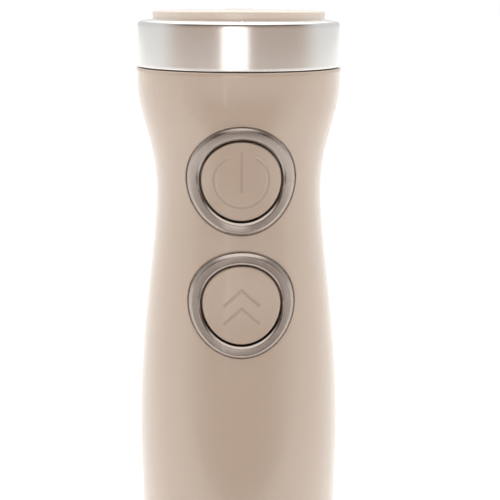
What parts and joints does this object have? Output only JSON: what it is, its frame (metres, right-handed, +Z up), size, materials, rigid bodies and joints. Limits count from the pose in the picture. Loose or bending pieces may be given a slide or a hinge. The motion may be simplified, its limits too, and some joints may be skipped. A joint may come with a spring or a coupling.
{
  "type": "immersion blender",
  "caption": "Hand-held immersion blender: waisted motor handle with round push buttons, a turning speed dial and a detachable steel leg with a bell guard over the blade.",
  "frame": {"origin": "centre of the guard's rim, in the plane that the blender stands on", "axes": "+Z up along the blender from rim to dial, -Y towards the side with the push buttons, +X to the right seen from the front"},
  "size_m": [0.0656, 0.0656, 0.3956],
  "materials": {
    "cream_shell": "glossy warm cream with a slight pearl",
    "satin_metal": "satin silver",
    "brushed_steel": "fine vertical brushing",
    "bright_steel": "machined",
    "zinc_steel": "zinc plated",
    "bronze": "sintered bronze",
    "copper": "enamelled copper",
    "black_plastic": "moulded, matt",
    "grey_plastic": "moulded, matt",
    "white_plastic": "moulded, matt",
    "black_rubber": "soft, matt",
    "circuit_board": "green laminate",
    "ferrite": "pressed ferrite",
    "carbon": "pressed carbon"
  },
  "bodies": {
    "handle": {"handle_housing": "cream_shell", "top_ring": "satin_metal", "power_bezel": "satin_metal", "turbo_bezel": "satin_metal", "motor_bearing_lower": "bright_steel", "motor_bearing_upper": "bright_steel", "power_button_spring": "bright_steel", "turbo_button_spring": "bright_steel", "latch_ring": "bright_steel", "motor_can": "zinc_steel", "deck_screw_1": "zinc_steel", "deck_screw_2": "zinc_steel", "frame_screw_1": "zinc_steel", "frame_screw_2": "zinc_steel", "top_deck": "black_plastic", "motor_end_cap": "black_plastic", "capacitor": "black_plastic", "power_switch": "black_plastic", "turbo_switch": "black_plastic", "motor_frame_front": "grey_plastic", "motor_frame_rear": "grey_plastic", "socket_collar": "grey_plastic", "potentiometer": "grey_plastic", "cord_clamp": "grey_plastic", "cord_gland": "black_rubber", "motor_mount_lower": "black_rubber", "motor_mount_upper": "black_rubber", "motor_lead_left": "black_rubber", "motor_lead_right": "black_rubber", "switch_board": "circuit_board", "control_board": "circuit_board", "magnet_left": "ferrite", "magnet_right": "ferrite", "brush_left": "carbon", "brush_right": "carbon"},
    "dial": {"speed_dial": "cream_shell", "dial_spindle": "white_plastic"},
    "power_push": {"power_button": "cream_shell", "power_switch_plunger": "white_plastic"},
    "turbo_push": {"turbo_button": "cream_shell", "turbo_switch_plunger": "white_plastic"},
    "release_left": {"release_button_left": "cream_shell"},
    "release_right": {"release_button_right": "cream_shell"},
    "rotor": {"motor_shaft": "bright_steel", "armature": "copper", "commutator": "copper", "cooling_fan": "white_plastic", "drive_coupler": "black_plastic"},
    "leg": {"leg_collar": "cream_shell", "leg_tube": "brushed_steel", "bell_guard": "brushed_steel", "bearing_carrier": "grey_plastic", "upper_carrier": "grey_plastic", "lower_bush": "bronze", "upper_bush": "bronze", "shaft_seal": "black_rubber"},
    "blade_rotor": {"blade_shaft": "bright_steel", "shaft_coupler": "black_plastic", "blade": "bright_steel", "blade_nut": "bright_steel"}
  },
  "joints": [
    {"name": "speed_dial_turn", "type": "hinge", "parent": "handle", "child": "dial", "pos_m": [0, 0, 0.39], "axis": [0, 0, 1], "range_deg": [0, 270]},
    {"name": "power_button_press", "type": "slide", "parent": "handle", "child": "power_push", "axis": [0, 1, 0], "range_m": [0, 0.0016], "stiffness_N_per_m": 900, "springref_m": -0.001, "deforming": ["power_button_spring"]},
    {"name": "turbo_button_press", "type": "slide", "parent": "handle", "child": "turbo_push", "axis": [0, 1, 0], "range_m": [0, 0.0016], "stiffness_N_per_m": 900, "springref_m": -0.001, "deforming": ["turbo_button_spring"]},
    {"name": "release_left_press", "type": "slide", "parent": "handle", "child": "release_left", "axis": [1, 0, 0], "range_m": [0, 0.0022], "stiffness_N_per_m": 1200, "springref_m": -0.001, "deforming": ["latch_ring"]},
    {"name": "release_right_press", "type": "slide", "parent": "handle", "child": "release_right", "axis": [-1, 0, 0], "range_m": [0, 0.0022], "stiffness_N_per_m": 1200, "springref_m": -0.001, "deforming": ["latch_ring"]},
    {"name": "rotor_spin", "type": "hinge", "parent": "handle", "child": "rotor", "pos_m": [0, 0, 0.27], "axis": [0, 0, 1], "continuous": true},
    {"name": "leg_pull", "type": "slide", "parent": "handle", "child": "leg", "axis": [0, 0, -1], "range_m": [0, 0.06], "deforming": ["latch_ring"]},
    {"name": "blade_spin", "type": "hinge", "parent": "leg", "child": "blade_rotor", "pos_m": [0, 0, 0.1], "axis": [0, 0, 1], "continuous": true}
  ],
  "couplings": [
    {"joint": "blade_spin", "follows": "rotor_spin", "ratio": 1}
  ]
}
